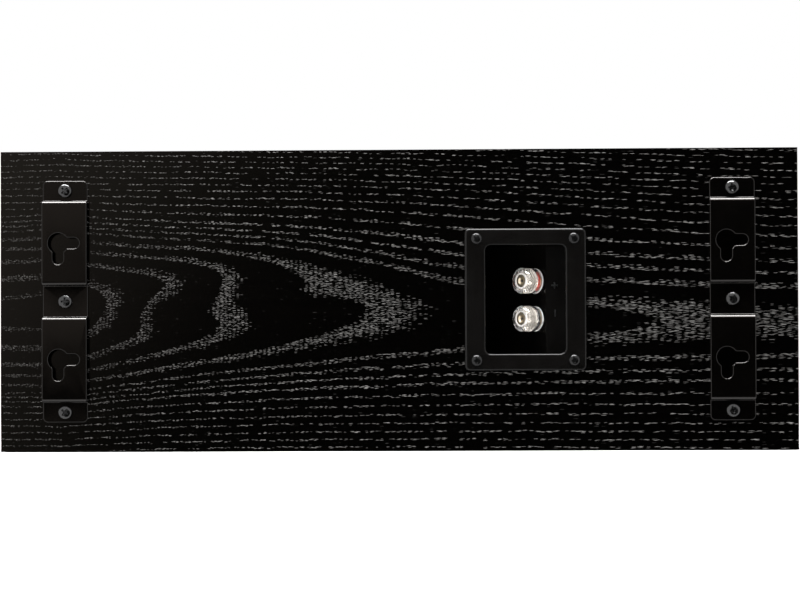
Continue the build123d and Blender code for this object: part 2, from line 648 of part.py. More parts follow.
def spider():
    """Corrugated cloth disc that centres the coil, its outer rim on the basket's seat."""
    inner = COIL_DIAMETER / 2 + RUNNING_CLEARANCE
    rim = spider_step + WOOFER_LEDGE
    low = -SPIDER_SEAT_DEPTH
    steps = 2 * SPIDER_ROLLS
    pitch = (rim - inner) / (steps + 1)
    wave = [(spider_seat, low)]
    for step in range(steps + 1):
        wave.append((rim - pitch * step, low + SPIDER_ROLL_HEIGHT * (step % 2)))
    wave.append((inner, low))
    upper = [(radius, z + SPIDER_SHEET) for radius, z in reversed(wave)]
    return turned(*wave, *upper)


def voice_coil():
    """Thin former with the winding round its lower end, centred in the magnet gap."""
    inside = COIL_DIAMETER / 2 - COIL_FORMER
    former = COIL_DIAMETER / 2
    winding = former + COIL_WINDING
    gap_middle = -BASKET_DEPTH - TOP_PLATE_THICKNESS / 2
    low = gap_middle - COIL_WINDING_LENGTH / 2
    high = gap_middle + COIL_WINDING_LENGTH / 2
    head = CONE_SHEET - CONE_NECK_DEPTH
    return turned((inside, low), (winding, low), (winding, high), (former, high), (former, head), (inside, head))


def yoke(plate, thick, low, pole, pole_top, vent):
    """Back plate with a pole piece in its middle and a vent through both."""
    return turned(
        (vent / 2, low), (plate / 2, low), (plate / 2, low + thick), (pole / 2, low + thick),
        (pole / 2, pole_top), (vent / 2, pole_top),
    )


def woofer_pieces():
    """What moves or flexes in one woofer, and its frame, flush with the baffle's face at z = 0."""
    cap_base = cone_surface(DUST_CAP_DIAMETER / 2)
    return {
        "basket": basket(),
        "surround": surround(),
        "cone": cone(),
        "dust_cap": dome_shell(DUST_CAP_DIAMETER, DUST_CAP_HEIGHT, CONE_SHEET, cap_base),
        "spider": spider(),
        "voice_coil": voice_coil(),
    }


def motor_pieces():
    """Gasket and magnet system of one woofer, alike in both."""
    gasket_low = -woofer_recess
    gasket = tube(WOOFER_FRAME, WOOFER_BODY, gasket_low, -WOOFER_FLANGE)
    screw_hole = DRIVER_SCREW_SHANK + 2 * SCREW_CLEARANCE
    gasket -= drill(woofer_screw_places, screw_hole, gasket_low, -WOOFER_FLANGE)
    return {
        "gaskets": gasket,
        "top_plates": tube(TOP_PLATE_DIAMETER, plate_bore, plate_low, -BASKET_DEPTH),
        "magnets": tube(MAGNET_DIAMETER, MAGNET_BORE, magnet_low, plate_low),
        "yokes": yoke(
            TOP_PLATE_DIAMETER, YOKE_THICKNESS, magnet_low - YOKE_THICKNESS, pole_diameter, -BASKET_DEPTH, POLE_VENT
        ),
    }


def make_woofers():
    """Two equal woofers, one to each side of the tweeter."""
    screw = pan_screw(DRIVER_SCREW_HEAD, DRIVER_SCREW_SHANK, DRIVER_SCREW_GRIP + woofer_recess)
    screws = []
    for side, x in (("left", -WOOFER_X), ("right", WOOFER_X)):
        place = FRONT * Pos(x, 0, 0)
        for name, solid in woofer_pieces().items():
            pieces[side + "_woofer_" + name] = place * solid
        screws += [place * Pos(u, v, 0) * screw for u, v in woofer_screw_places]
    pieces["woofer_screws"] = group(screws)
    for name, solid in motor_pieces().items():
        pieces["woofer_" + name] = group(FRONT * Pos(x, 0, 0) * solid for x in (-WOOFER_X, WOOFER_X))


def tweeter_dome(low):
    """Coated cloth dome with its roll and a flat foot clamped under the faceplate."""
    sheet = DOME_SHEET
    edge = DOME_DIAMETER / 2
    roll_end = edge + DOME_ROLL_WIDTH
    rise = DOME_ROLL_WIDTH / 3
    ring = turned(
        (edge - sheet, low), (edge + sheet, low), (edge + DOME_ROLL_WIDTH / 2, low + rise), (roll_end - sheet, low),
        (roll_end + DOME_FOOT, low), (roll_end + DOME_FOOT, low + sheet), (roll_end, low + sheet),
        (edge + DOME_ROLL_WIDTH / 2, low + rise + sheet), (edge, low + sheet), (edge - sheet, low + sheet),
    )
    return ring + dome_shell(DOME_DIAMETER, DOME_HEIGHT, sheet, low)


def tweeter_pieces():
    """Dome tweeter along z, its faceplate flush with the baffle's face at z = 0."""
    back = -TWEETER_PLATE_THICKNESS
    foot = back - DOME_SHEET
    mouth = TWEETER_MOUTH / 2
    faceplate = turned(
        (mouth, back), (TWEETER_PLATE / 2, back), (TWEETER_PLATE / 2, 0), (TWEETER_FLARE / 2, 0),
        (mouth, -TWEETER_FLARE_DEPTH),
    )
    screw_hole = DRIVER_SCREW_SHANK + 2 * SCREW_CLEARANCE
    faceplate -= drill(tweeter_screw_places, screw_hole, back, 0)
    plate_bottom = foot - TWEETER_TOP_PLATE_THICKNESS
    magnet_bottom = plate_bottom - TWEETER_MAGNET_THICKNESS
    bore = DOME_DIAMETER + 2 * (COIL_WINDING + COIL_GAP)
    pole = DOME_DIAMETER - 2 * (COIL_FORMER + COIL_GAP)
    former = tube(DOME_DIAMETER, DOME_DIAMETER - 2 * COIL_FORMER, foot - TWEETER_COIL_LENGTH, foot)
    return {
        "faceplate": faceplate,
        "dome": tweeter_dome(foot),
        "voice_coil": former,
        "top_plate": tube(TWEETER_TOP_PLATE, bore, plate_bottom, foot),
        "magnet": tube(TWEETER_MAGNET, TWEETER_MAGNET_BORE, magnet_bottom, plate_bottom),
        "yoke": yoke(
            TWEETER_TOP_PLATE, TWEETER_YOKE_THICKNESS, magnet_bottom - TWEETER_YOKE_THICKNESS, pole,
            foot - DOME_SHEET, POLE_VENT,
        ),
    }


def make_tweeter():
    """Tweeter in the middle of the baffle with its four screws."""
    for name, solid in tweeter_pieces().items():
        pieces["tweeter_" + name] = FRONT * solid
    screw = pan_screw(DRIVER_SCREW_HEAD, DRIVER_SCREW_SHANK, DRIVER_SCREW_GRIP + TWEETER_PLATE_THICKNESS)
    pieces["tweeter_screws"] = group(FRONT * Pos(x, y, 0) * screw for x, y in tweeter_screw_places)


def make_crossover():
    """Crossover board on spacers inside the rear panel, its parts facing the drivers."""
    place = INSIDE * Pos(BOARD_OFFSET, 0, 0)
    face = BOARD_SPACER_LENGTH + BOARD_THICKNESS
    screw_hole = BOARD_SCREW_SHANK + 2 * SCREW_CLEARANCE
    holes = drill(board_places, screw_hole, 0, face)
    board = slab(RectangleRounded(BOARD_WIDTH, BOARD_HEIGHT, BOARD_HOLE_INSET / 2), BOARD_SPACER_LENGTH, face)
    pieces["crossover_board"] = place * (board - holes)
    spacer = tube(BOARD_SPACER_DIAMETER, screw_hole, 0, BOARD_SPACER_LENGTH)
    screw = pan_screw(BOARD_SCREW_HEAD, BOARD_SCREW_SHANK, BOARD_SCREW_GRIP + face)
    pieces["crossover_spacers"] = group(place * Pos(x, y, 0) * spacer for x, y in board_places)
    pieces["crossover_screws"] = group(place * Pos(x, y, face) * screw for x, y in board_places)
    quarter_x = BOARD_WIDTH / 4
    quarter_y = BOARD_HEIGHT / 5
    large = tube(WOOFER_CHOKE_DIAMETER, WOOFER_CHOKE_DIAMETER * CHOKE_BORE_RATIO, face, face + WOOFER_CHOKE_HEIGHT)
    small = tube(TWEETER_CHOKE_DIAMETER, TWEETER_CHOKE_DIAMETER * CHOKE_BORE_RATIO, face, face + TWEETER_CHOKE_HEIGHT)
    pieces["woofer_choke"] = place * Pos(-quarter_x, quarter_y, 0) * large
    pieces["tweeter_choke"] = place * Pos(quarter_x, quarter_y, 0) * small
    can = Pos(0, 0, face + CAPACITOR_DIAMETER / 2) * Rot(0, 90, 0) * Cylinder(CAPACITOR_DIAMETER / 2, CAPACITOR_LENGTH)
    cans = [place * Pos(x, -quarter_y, 0) * can for x in (-quarter_x, quarter_x)]
    pieces["capacitors"] = group(cans)
    resistor = block(RESISTOR_LENGTH, RESISTOR_WIDTH, face, face + RESISTOR_WIDTH)
    pieces["resistor"] = place * Pos(0, -2 * quarter_y, 0) * resistor


def lead(*points):
    """Insulated lead along straight runs joined by arcs as large as the runs allow."""
    runs = [Vector(end) - Vector(start) for start, end in zip(points, points[1:])]
    radii = []
    for before, after in zip(runs, runs[1:]):
        half_turn = math.radians(before.get_angle(after)) / 2
        radii.append(LEAD_BEND_SHARE * min(before.length, after.length) / math.tan(half_turn))
    path = FilletPolyline(*points, radius=radii)
    start = Plane(path @ 0, z_dir=path % 0)
    return sweep(start * Circle(LEAD_DIAMETER / 2), path)


def level(x, y, rise):
    """Point inside the cabinet, its height counted from the middle that the board and drivers share."""
    return (x, y, MIDDLE_HEIGHT + rise)


def landing(x, rise):
    """Last two points of a lead: in front of the tallest part on the board, then down on the board."""
    board_y = CABINET_DEPTH / 2 - PANEL_THICKNESS - BOARD_SPACER_LENGTH - BOARD_THICKNESS
    clear_y = board_y - WOOFER_CHOKE_HEIGHT - LEAD_DIAMETER
    return [level(x, clear_y, rise), level(x, board_y, rise)]


def post_lead(foot, rise):
    """Lead soldered along a post's tag, which runs on past it and turns to the near edge of the board."""
    lie = -CUP_WALL - TAG_THICKNESS - LEAD_DIAMETER / 2
    tag_end = TAG_LENGTH - TAG_WIDTH / 2
    along = [CUP * foot * Pos(0, run, lie) for run in (tag_end - LEAD_LAP, tag_end + LEAD_SWING)]
    edge_x = BOARD_OFFSET - BOARD_WIDTH / 2 + LEAD_EDGE_INSET
    return lead(*[tuple(place.position) for place in along], *landing(edge_x, rise))


def woofer_lead(x, landing_x):
    """Lead from a woofer's tag strip, over its magnet, to the upper edge of the board."""
    tag_y = -CABINET_DEPTH / 2 - tag_strip_low
    rise = TAG_STRIP_REACH - LEAD_DIAMETER
    ends = landing(landing_x, BOARD_HEIGHT / 2 - LEAD_EDGE_INSET)
    turn_x = x - math.copysign(LEAD_TURN, x)
    turn = level(turn_x, ends[0][1], rise)
    return lead(level(x, tag_y, rise), level(x, tag_y + LEAD_STUB, rise), turn, *ends)


def tweeter_lead():
    """Lead from the back of the tweeter to the middle of the board."""
    yoke_y = TWEETER_PLATE_THICKNESS + DOME_SHEET + TWEETER_TOP_PLATE_THICKNESS + TWEETER_MAGNET_THICKNESS
    yoke_y += TWEETER_YOKE_THICKNESS - CABINET_DEPTH / 2
    rise = TWEETER_TOP_PLATE / 4
    return lead(level(0, yoke_y, rise), level(0, yoke_y + LEAD_STUB, rise), *landing(BOARD_OFFSET, 0))


def make_wiring():
    """Leads from the posts to the crossover board and from the board to each driver."""
    red_foot, black_foot = post_feet()
    post_rise = -BOARD_HEIGHT / 10
    pieces["wiring_loom"] = group([
        post_lead(red_foot, post_rise + LEAD_DIAMETER),
        post_lead(black_foot, post_rise - LEAD_DIAMETER),
        woofer_lead(-WOOFER_X, BOARD_OFFSET),
        woofer_lead(WOOFER_X, BOARD_OFFSET + BOARD_WIDTH / 4),
        tweeter_lead(),
    ])


def make_grille():
    """Removable grille: routed board, stretched cloth, four pegs and their sockets in the baffle."""
    cloth_width = CABINET_WIDTH - 2 * GRILLE_REVEAL
    cloth_height = CABINET_HEIGHT - 2 * GRILLE_REVEAL
    frame_width = cloth_width - 2 * CLOTH_THICKNESS
    frame_height = cloth_height - 2 * CLOTH_THICKNESS
    frame_low = CLOTH_THICKNESS
    frame_high = frame_low + GRILLE_THICKNESS
    frame_face = RectangleRounded(frame_width, frame_height, GRILLE_CORNER)
    windows = [Pos(x, 0) * Circle(WOOFER_FRAME / 2 + GRILLE_WINDOW_MARGIN) for x in (-WOOFER_X, WOOFER_X)]
    tweeter_clear = TWEETER_SCREW_CIRCLE / 2 + DRIVER_SCREW_HEAD / 2
    windows.append(Circle(tweeter_clear + GRILLE_WINDOW_MARGIN))
    frame = slab(frame_face - windows, frame_low, frame_high)
    peg_hole = PEG_DIAMETER + 2 * PEG_CLEARANCE
    frame -= drill(peg_places, PEG_DIAMETER, frame_low, frame_low + PEG_ROOT)
    cloth_face = RectangleRounded(cloth_width, cloth_height, GRILLE_CORNER + CLOTH_THICKNESS)
    opening = RectangleRounded(frame_width - 2 * CLOTH_RETURN, frame_height - 2 * CLOTH_RETURN, GRILLE_CORNER)
    cloth = slab(cloth_face, 0, frame_high + CLOTH_THICKNESS)
    cloth -= slab(frame_face, frame_low, frame_high)
    cloth -= slab(opening, 0, frame_low)
    pieces["grille_frame"] = FRONT * frame
    pieces["grille_cloth"] = FRONT * (cloth - drill(peg_places, peg_hole, 0, frame_low))
    peg = rod(PEG_DIAMETER, -PEG_LENGTH, frame_low + PEG_ROOT)
    socket = rod(socket_cup, -socket_cup_depth, 0) - rod(peg_hole, -PEG_LENGTH - PEG_CLEARANCE, 0)
    pieces["grille_pegs"] = group(FRONT * Pos(x, y, 0) * peg for x, y in peg_places)
    pieces["grille_sockets"] = group(FRONT * Pos(x, y, 0) * socket for x, y in peg_places)


def main():
    make_cabinet()
    make_brackets()
    make_terminals()
    make_woofers()
    make_tweeter()
    make_crossover()
    make_wiring()
    make_grille()
    os.makedirs("parts", exist_ok=True)
    for name, shape in pieces.items():
        export_step(shape, os.path.join("parts", name + ".step"))
    print(len(pieces), "nodes written")


main()
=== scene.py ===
# %% [markdown]
# # A centre channel speaker, seen from behind
# The CAD model gives every solid its place. This script dresses those solids: black-stained ash on the
# cabinet, painted steel on the hanging brackets, clear caps on the binding posts, and cloth on the
# grille. Each step says what the real piece is, how it could be made in Blender, and why it is made this
# way.

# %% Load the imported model
import math

import bmesh
import bpy
from mathutils import Matrix, Vector


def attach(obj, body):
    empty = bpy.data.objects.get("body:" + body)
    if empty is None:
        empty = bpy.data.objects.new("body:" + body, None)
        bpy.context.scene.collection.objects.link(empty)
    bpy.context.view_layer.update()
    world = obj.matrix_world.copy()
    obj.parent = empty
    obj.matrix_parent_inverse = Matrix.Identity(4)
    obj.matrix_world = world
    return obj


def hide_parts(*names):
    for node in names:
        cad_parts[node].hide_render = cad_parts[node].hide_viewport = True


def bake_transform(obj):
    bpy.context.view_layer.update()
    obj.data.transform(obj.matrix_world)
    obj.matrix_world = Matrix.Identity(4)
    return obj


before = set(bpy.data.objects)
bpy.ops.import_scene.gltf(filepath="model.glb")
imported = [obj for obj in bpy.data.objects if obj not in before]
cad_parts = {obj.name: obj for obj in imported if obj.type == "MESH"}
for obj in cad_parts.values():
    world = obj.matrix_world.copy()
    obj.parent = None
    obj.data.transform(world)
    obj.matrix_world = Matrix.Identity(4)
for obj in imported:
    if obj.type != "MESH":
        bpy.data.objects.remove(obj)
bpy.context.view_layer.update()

MM = 0.001
HALF_LENGTH = 200.0
MIDDLE_HEIGHT = 75.5

# %% [markdown]
# ## Numbers that flow through a shader
# A shader is a net of nodes, and long sums in it soon become unreadable. The class below wraps one output
# socket, so that `a * 2 + b` makes the two Math nodes and the links between them.


# %% A socket that can be added and multiplied
class Wire:
    """A number in a shader. Sums and products of Wires become Math nodes."""

    def __init__(self, finish, socket):
        self.finish = finish
        self.socket = socket

    def math(self, operation, *values):
        node = self.finish.node("Math", {"operation": operation}, dict(enumerate(values)))
        return Wire(self.finish, node.outputs[0])

    def __add__(self, other):
        return self.math("ADD", self, other)

    def __sub__(self, other):
        return self.math("SUBTRACT", self, other)

    def __mul__(self, other):
        return self.math("MULTIPLY", self, other)

    def __truediv__(self, other):
        return self.math("DIVIDE", self, other)

    def __rsub__(self, other):
        return self.math("SUBTRACT", other, self)

    def __rtruediv__(self, other):
        return self.math("DIVIDE", other, self)

    __radd__ = __add__
    __rmul__ = __mul__

    def apply(self, operation):
        """One-sided functions such as SQRT, COSINE, EXPONENT, FRACT or ABSOLUTE."""
        return self.math(operation, self)

    def least(self, floor):
        return self.math("MAXIMUM", self, floor)

    def ramp(self, low, high, start=0.0, end=1.0):
        """Smooth step from start to end while this number goes from low to high."""
        values = {"Value": self, "From Min": low, "From Max": high, "To Min": start, "To Max": end}
        node = self.finish.node("MapRange", {"interpolation_type": "SMOOTHSTEP"}, values)
        return Wire(self.finish, node.outputs[0])


# %% [markdown]
# ## A material with a few short words
# `node` adds one node: its settings first, then a value or a link for each input. `look` does the same
# for the Principled shader that every finish here ends in. A number that is the same all over goes
# straight on its socket.


# %% A material and its helpers
class Finish:
    """One material, and short ways to wire its nodes. Places are in millimetres in the object's own frame."""

    def __init__(self, name):
        self.material = bpy.data.materials.new(name)
        self.material.use_nodes = True
        self.tree = self.material.node_tree
        self.shader = self.tree.nodes["Principled BSDF"]

    def feed(self, socket, value):
        if isinstance(value, Wire):
            self.tree.links.new(value.socket, socket)
        elif isinstance(value, bpy.types.NodeSocket):
            self.tree.links.new(value, socket)
        else:
            socket.default_value = value

    def node(self, kind, settings, values):
        made = self.tree.nodes.new("ShaderNode" + kind)
        for key, value in settings.items():
            setattr(made, key, value)
        for key, value in values.items():
            self.feed(made.inputs[key], value)
        return made

    def look(self, values):
        for key, value in values.items():
            self.feed(self.shader.inputs[key], value)
        return self

    def place(self):
        """x, y and z in millimetres."""
        place = self.node("TexCoord", {}, {}).outputs["Object"]
        split = self.node("SeparateXYZ", {}, {"Vector": place})
        return [Wire(self, out) * 1000.0 for out in split.outputs]

    def vector(self, x, y, z=0.0):
        return self.node("CombineXYZ", {}, {"X": x, "Y": y, "Z": z}).outputs[0]

    def noise(self, vector, detail=2.0):
        values = {"Vector": vector, "Scale": 1.0, "Detail": detail}
        return Wire(self, self.node("TexNoise", {}, values).outputs[0])

    def mix(self, share, first, second):
        """Colour between two colours."""
        node = self.node("Mix", {"data_type": "RGBA"}, {0: share, 6: first, 7: second})
        return node.outputs[2]

    def bump(self, height, depth, strength=1.0):
        """Normals of a surface whose height, from 0 to 1, is worth depth in millimetres."""
        values = {"Height": height, "Distance": depth * MM, "Strength": strength}
        return self.node("Bump", {}, values).outputs[0]


def grey(value, warmth=0.0):
    """Colour of one brightness, a little warmer if asked."""
    return (value * (1 + warmth), value, value * (1 - warmth), 1.0)


# %% [markdown]
# ## Black ash
# The cabinet is veneered in flat-sawn ash, stained black, with a thin satin lacquer. Ash has rings of
# large open pores. Where the saw cuts nearly along the trunk, each ring shows as a pointed arch, and its
# pores as short pale dashes. The same thing can be computed: `reach` is how far a point of the sheet is
# from the middle of the trunk, and a curve turns that into a ring number.


# %% Ring growth of the tree
RING_SPAN = 160.0
RING_COUNT = 45.0
WIDE_YEARS = ((12.2, 1), (20.6, 2), (26.2, 3), (30.6, 4), (34.6, 5), (36.8, 6), (39.0, 7), (41.2, 8))


def ring_number(finish, reach):
    """Ring that grew at a distance from the trunk's middle: a few wide years, then steady growth."""
    node = finish.node("FloatCurve", {}, {"Value": reach / RING_SPAN})
    curve = node.mapping.curves[0]
    for distance, ring in WIDE_YEARS:
        curve.points.new(distance / RING_SPAN, ring / RING_COUNT)
    for point in curve.points:
        point.handle_type = "VECTOR"
    node.mapping.update()
    return Wire(finish, node.outputs[0]) * RING_COUNT


# %% [markdown]
# The trunk's middle line runs a little downhill, and it sinks under the sheet from left to right, quickly
# at first, which draws the arches out. Here and there the tree grew round a swelling, and the arches bend
# there. Each such place is a soft hill or hollow: where it is along and across the grain, how far it
# reaches, and how strong it is.

# %% How far a point is from the trunk's middle
LINE_START = 6.43
LINE_SLOPE = 0.0189
LINE_BEND = 0.0000135
SINK = 2595.0
SINK_FROM = 30.0
SINK_LEAD = 36.9
SINK_LENGTH = 93.5
SINK_WIDTH_SQUARED = 5457.0
SHEET_SQUARED = 1346.0
SWELLINGS = (
    (171.5, 67.2, 181.0, 27.8, -1036.0), (128.4, 13.8, 51.3, 17.6, 1308.0),
    (85.1, 2.8, 19.4, 9.3, 232.6), (124.7, 16.2, 60.4, 19.9, -1384.0),
)


def trunk_reach(s, t, arch):
    """Distance from the trunk's middle, for a place s along and t across the grain."""
    off = t + LINE_SLOPE * s - LINE_BEND * s * s + LINE_START
    sink = SINK - SINK * ((s.least(SINK_FROM) + SINK_LEAD) / -SINK_LENGTH).apply("EXPONENT")
    square = off * off + sink / (1.0 + off * off / SINK_WIDTH_SQUARED) * arch
    for along, across, long, wide, strength in SWELLINGS:
        far_along = (s - along) / long
        far_across = (off - across) / wide
        hill = (far_along * far_along + far_across * far_across) * -1.0
        square = square + hill.apply("EXPONENT") * (strength * arch)
    return (square - SHEET_SQUARED * arch).least(0.0).apply("SQRT")


# %% [markdown]
# Every pore is one cell of a Voronoi pattern that is stretched along the grain. A cell knows its own
# middle, so the ring is worked out there, and the whole dash is either shown or not. Pores crowd at the
# start of a ring and thin out towards its end. Where the cut runs flatter along the trunk the dashes get
# longer, so the pattern is laid out on a logarithm of the way along. The first wide rings are porous for
# half their growth, and later ones for less, with brighter pores. Under a bracket the pores are left out:
# this is painted shade, a dark patch standing for the bracket's shadow on the panel.

# %% The ash finish
PORE_LENGTH = 1.25
PORE_HEIGHT = 0.23
PORE_STRETCH = 0.006
PORE_GREY = grey(0.11, 0.02)
STAIN_DARK = grey(0.00005, 0.1)
STAIN_LIGHT = grey(0.0002, 0.15)
LACQUER_SHINE = 0.155
LACQUER_TINT = (1.0, 0.87, 0.74, 1.0)


def ash(name, along_across, arch=1.0, satin=0.09, painted_shade=None):
    """Black ash. along_across turns x, y, z into millimetres along and across the grain."""
    finish = Finish(name)
    along, across = along_across(*finish.place())
    growth = 1.0 + PORE_STRETCH * along
    step = PORE_STRETCH * PORE_LENGTH
    steps = growth.math("LOGARITHM", growth, math.e) / step
    cell = finish.node("TexVoronoi", {"voronoi_dimensions": "2D"}, {
        "Vector": finish.vector(steps, across / PORE_HEIGHT), "Scale": 1.0,
    })
    middle = finish.node("SeparateXYZ", {}, {"Vector": cell.outputs["Position"]})
    chances = finish.node("SeparateColor", {}, {"Color": cell.outputs["Color"]})
    luck, light, girth = (Wire(finish, out) for out in chances.outputs)
    s = ((Wire(finish, middle.outputs[0]) * step).apply("EXPONENT") - 1.0) / PORE_STRETCH
    t = Wire(finish, middle.outputs[1]) * PORE_HEIGHT
    ripple = finish.noise(finish.vector(s / 18, t / 6, 7.3), 2.0) - 0.5
    ring = ring_number(finish, trunk_reach(s, t + ripple * 1.6, arch))
    part = ring.apply("FRACT")
    crowded_to = ring.ramp(6, 10, 0.14, 0.06)
    porous_to = ring.ramp(6, 10, 0.5, 0.30)
    porous = part.ramp(0.0, 0.05) * part.ramp(crowded_to, porous_to, 1, 0)
    patch = finish.noise(finish.vector(s / 7, t / 0.55, 3.1), 1.0).ramp(0.36, 0.6, 0.25, 0.88)
    shown = (porous * patch - luck).ramp(-0.02, 0.06)
    # Painted shade: the pores are hidden where this mask is 0, under the brackets.
    if painted_shade:
        shown = shown * painted_shade(along, across)
    size = 0.26 + 0.22 * girth
    pore = (size - Wire(finish, cell.outputs["Distance"])).ramp(0.0, 0.14) * shown
    glow = (0.3 + 0.7 * light) * s.ramp(10, 130, 0.55, 1.0) * ring.ramp(5, 8, 0.85, 1.3)
    stain = finish.noise(finish.vector(along / 40, across / 3.5, 5.0), 4.0)
    base = finish.mix(stain, STAIN_DARK, STAIN_LIGHT)
    fibre = finish.noise(finish.vector(along / 7, across / 0.35, 2.0), 3.0)
    return finish.look({
        "Base Color": finish.mix(pore * glow, base, PORE_GREY),
        "Roughness": satin + 0.3 * pore + 0.03 * stain,
        "Normal": finish.bump(fibre * 0.15 - pore, 0.03, 0.6),
        "Specular IOR Level": LACQUER_SHINE,
        "Specular Tint": LACQUER_TINT,
    })


# Where the brackets lie on the back; the painted shade under them is laid out from these.
BRACKET_FROM_MIDDLE = 167.2
BRACKET_SIDE = (10.8, 11.4)
BRACKET_END = (59.8, 60.6)


def painted_bracket_shade(along, across):
    """Painted shade mask: 0 under a bracket, where the pores are hidden as shade, and 1 elsewhere."""
    from_middle = (along - HALF_LENGTH).apply("ABSOLUTE")
    beside = (from_middle - BRACKET_FROM_MIDDLE).apply("ABSOLUTE").ramp(*BRACKET_SIDE)
    return beside.least(across.apply("ABSOLUTE").ramp(*BRACKET_END))


rear_ash = ash("rear_ash", lambda x, y, z: (HALF_LENGTH - x, z - MIDDLE_HEIGHT), painted_shade=painted_bracket_shade)
lid_ash = ash("lid_ash", lambda x, y, z: (230 - x, y + z + 66), arch=0.9, satin=0.2)
end_ash = ash("end_ash", lambda x, y, z: (z + 60, y - x + 84), arch=0.8, satin=0.2)
print("ash finishes:", rear_ash.material.name, lid_ash.material.name, end_ash.material.name)

# %% [markdown]
# ## Dressing a CAD node
# A solid whose shape is right stays as it is and only changes its material. The slots of its mesh take
# the finish.


# %% Dress the cabinet
def dress(finish, *nodes):
    """Give CAD nodes a finish."""
    for node in nodes:
        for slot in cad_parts[node].material_slots:
            slot.material = finish.material


dress(rear_ash, "rear_panel")
dress(lid_ash, "top_panel", "bottom_panel")
dress(end_ash, "left_end_panel", "right_end_panel")

# %% [markdown]
# ## Paint, plastic, metal and rubber
# Most of the small parts have an even finish that still isn't flat: paint has a fine orange peel, moulded
# plastic has a grain from the tool, plated metal has faint cloudy stains. One recipe serves them all: a
# cloud of noise that moves the colour and the roughness a little, and a fine noise for the bump.


# %% One recipe for even finishes
def even(name, colour, roughness, grain, depth, metallic=0.0, spread=0.25, extra=None):
    """Finish with a fine bump of the given grain and depth in millimetres, and faint clouds in it."""
    finish = Finish(name)
    x, y, z = finish.place()
    cloud = finish.noise(finish.vector(x / (20 * grain), y / (20 * grain), z / (20 * grain)), 3.0)
    fine = finish.noise(finish.vector(x / grain, y / grain, z / grain), 2.0)
    dark = tuple(channel * (1 - spread) for channel in colour[:3]) + (1.0,)
    light = tuple(min(1.0, channel * (1 + spread)) for channel in colour[:3]) + (1.0,)
    finish.look({
        "Base Color": finish.mix(cloud, dark, light),
        "Roughness": roughness - 0.06 + 0.12 * cloud,
        "Metallic": metallic,
        "Normal": finish.bump(fine, depth),
    })
    return finish.look(extra or {})


bracket_paint = even("bracket_paint", grey(0.0003, 0.15), 0.12, 0.5, 0.002, extra={
    "Specular IOR Level": 0.13, "Specular Tint": (1.0, 0.84, 0.72, 1.0),
})
cup_plastic = even("cup_plastic", grey(0.0010, 0.12), 0.15, 0.42, 0.004, extra={"Specular IOR Level": 0.24})
black_screw = even("black_screw", grey(0.001, 0.03), 0.12, 0.8, 0.003, extra={"Specular IOR Level": 0.8})
dull_screw = even("dull_screw", grey(0.001, 0.03), 0.16, 0.8, 0.003, extra={"Specular IOR Level": 0.4})
gold_plate = even("gold_plate", (0.82, 0.7, 0.52, 1), 0.34, 0.4, 0.003, 1.0, 0.06)
knurled_nickel = even("knurled_nickel", grey(0.6, 0.1), 0.24, 0.4, 0.003, 0.7, 0.02)
bright_nickel = even("bright_nickel", (0.46, 0.44, 0.42, 1), 0.3, 0.4, 0.003, 0.3, 0.04)
red_plastic = even("red_plastic", (0.42, 0.035, 0.015, 1), 0.35, 0.4, 0.01)
black_plastic = even("black_plastic", grey(0.02), 0.38, 0.4, 0.01)
zinc_steel = even("zinc_steel", (0.62, 0.63, 0.62, 1), 0.3, 0.6, 0.006, 1.0, 0.12)
tinned_brass = even("tinned_brass", (0.75, 0.73, 0.66, 1), 0.28, 0.5, 0.004, 1.0, 0.1)

# %% [markdown]
# Two of these finishes need one thing more. Paint is stretched smooth over a bend, so the brackets get a
# glossy coat wherever their surface turns away from straight back. The knurl's grooves get a dark colour,
# painted shade together with grime. They are marked on the mesh in a vertex attribute, and the colour
# follows it.


# %% Shining bends and dark grooves
def coat_bends(finish, weight, roughness):
    """Glossy coat on faces that turn away from straight back."""
    normal = finish.node("NewGeometry", {}, {}).outputs["Normal"]
    backward = Wire(finish, finish.node("SeparateXYZ", {}, {"Vector": normal}).outputs["Y"])
    finish.look({"Coat Weight": backward.ramp(0.90, 0.985, weight, 0.0), "Coat Roughness": roughness})


def darken_grooves(finish, ridge, shade_and_dirt):
    """Colour from ridge to shade_and_dirt, painted shade with grime, as the attribute called groove goes from
    0 to 1.
    """
    groove = Wire(finish, finish.node("Attribute", {"attribute_name": "groove"}, {}).outputs["Fac"])
    finish.look({"Base Color": finish.mix(groove.ramp(0.4, 0.9), ridge, shade_and_dirt)})


coat_bends(bracket_paint, 0.75, 0.14)
# The dark groove colour is painted shade with grime.
darken_grooves(knurled_nickel, (0.88, 0.83, 0.76, 1), (0.08, 0.065, 0.05, 1))

# %% [markdown]
# The caps of the posts are clear acrylic. Light has to go in and come out again, so this finish
# transmits, with the bending power of acrylic, and stays quite smooth. Tiny scuffs move the roughness,
# and a small share of the light is scattered, because a moulded cap is never quite clear. The cap's foot
# is a white ring, a painted highlight for the bright edge where light catches the clear foot.

# %% Clear acrylic
clear_plastic = Finish("clear_plastic")
scuff = clear_plastic.noise(clear_plastic.vector(*[part / 1.5 for part in clear_plastic.place()]), 4.0)
clear_plastic.look({
    "Base Color": (0.97, 0.96, 0.95, 1),
    "Roughness": scuff.ramp(0.35, 0.75, 0.0, 0.05),
    "Transmission Weight": 0.985,
    "IOR": 1.49,
})
# Painted highlight: a white opaque finish for the bright edge of the caps' clear foot.
painted_foot_highlight = even("painted_foot_highlight", grey(0.92, 0.01), 0.5, 0.4, 0.01, extra={"IOR": 1.49})

